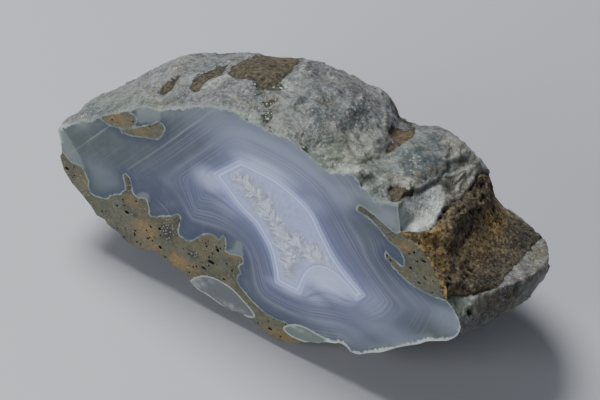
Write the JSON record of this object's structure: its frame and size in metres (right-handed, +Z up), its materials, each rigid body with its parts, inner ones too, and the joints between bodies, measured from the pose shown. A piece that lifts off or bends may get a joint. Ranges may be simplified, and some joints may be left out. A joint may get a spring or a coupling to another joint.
{
  "type": "agate",
  "caption": "Half of an agate nodule with rough rind and basalt still on it, sawn and polished on one side to show blue-grey bands around a quartz centre.",
  "frame": {"origin": "bottom centre of the bounding box, on the flat spot that the stone rests on", "axes": "+X along the stone's length, +Z up, and the sawn face looks towards -Y, leaning back 10 degrees"},
  "size_m": [0.1272, 0.0568, 0.0616],
  "materials": {
    "agate": "polished blue-grey chalcedony on the sawn face, rough grey-green rind and brown vesicular basalt elsewhere"
  },
  "bodies": {
    "root": {"agate": "agate"}
  },
  "joints": []
}
